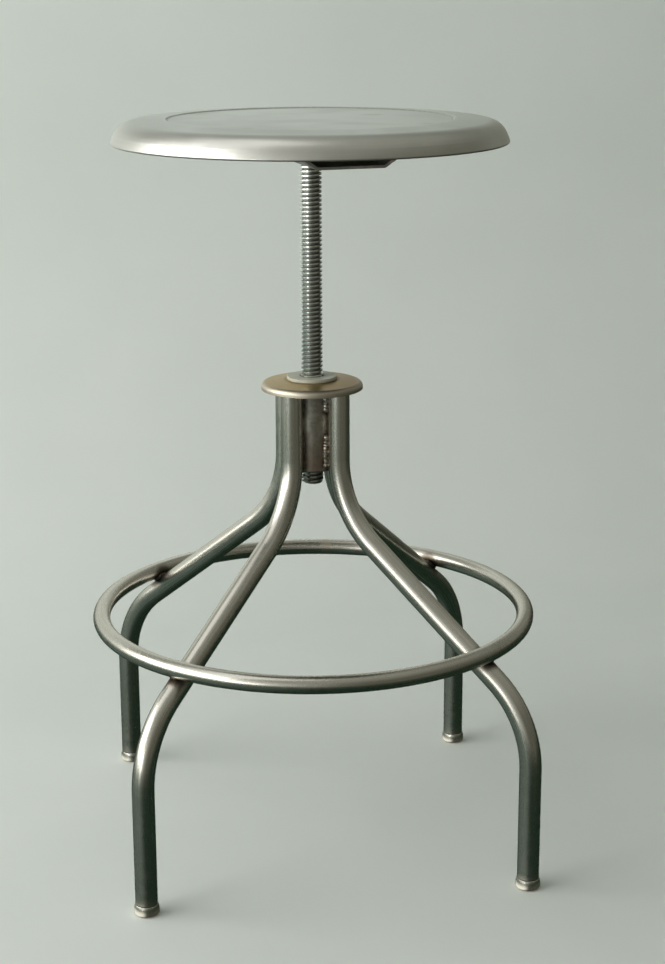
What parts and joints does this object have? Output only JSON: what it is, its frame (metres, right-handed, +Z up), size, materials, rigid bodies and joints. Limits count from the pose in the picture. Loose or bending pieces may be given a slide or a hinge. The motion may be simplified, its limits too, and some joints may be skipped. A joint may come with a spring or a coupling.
{
  "type": "screw-height laboratory stool",
  "caption": "Backless stool: round pressed metal seat on a threaded spindle that climbs as it turns in a hub, on splayed bent tube legs with a welded foot ring and capped feet.",
  "frame": {"origin": "on the floor plane, on the spindle's axis, midway between the feet", "axes": "+Z up along the spindle, -Y to the front, legs on the diagonals between the X and Y axes"},
  "size_m": [0.4189, 0.419, 0.6817],
  "materials": {
    "seat_steel": "satin",
    "channel_steel": "satin",
    "frame_tube": "satin",
    "hub_steel": "satin",
    "thread_steel": "satin",
    "fastener_zinc": "satin",
    "weld_metal": "matte",
    "cap_metal": "satin",
    "ferrule_nickel": "polished",
    "bushing_nylon": "satin",
    "insert_plastic": "matte"
  },
  "bodies": {
    "base": {"spindle_hub": "hub_steel", "collar_cap": "cap_metal", "foot_ring": "frame_tube", "hub_welds": "weld_metal", "ring_welds": "weld_metal", "leg_rear_right": "frame_tube", "leg_rear_left": "frame_tube", "leg_front_left": "frame_tube", "leg_front_right": "frame_tube", "ferrule_rear_right": "ferrule_nickel", "ferrule_rear_left": "ferrule_nickel", "ferrule_front_left": "ferrule_nickel", "ferrule_front_right": "ferrule_nickel", "glide_insert_rear_right": "insert_plastic", "glide_insert_rear_left": "insert_plastic", "glide_insert_front_left": "insert_plastic", "glide_insert_front_right": "insert_plastic"},
    "bushing": {"guide_bushing": "bushing_nylon"},
    "seat": {"seat_pan": "seat_steel", "seat_channel": "channel_steel", "seat_studs": "fastener_zinc", "seat_stud_washers": "fastener_zinc", "seat_stud_nuts": "fastener_zinc", "spindle": "thread_steel", "stop_pin": "fastener_zinc", "spindle_washer": "fastener_zinc", "spindle_lock_washer": "fastener_zinc", "spindle_top_nut": "fastener_zinc"}
  },
  "joints": [
    {"name": "seat_turn", "type": "hinge", "parent": "base", "child": "bushing", "pos_m": [0, 0, 0.45], "axis": [0, 0, 1], "range_deg": [-18000, 720]},
    {"name": "seat_climb", "type": "slide", "parent": "bushing", "child": "seat", "axis": [0, 0, 1], "range_m": [-0.2, 0.008]}
  ],
  "couplings": [
    {"joint": "seat_climb", "follows": "seat_turn", "m_per_rad": 0.00063662}
  ]
}
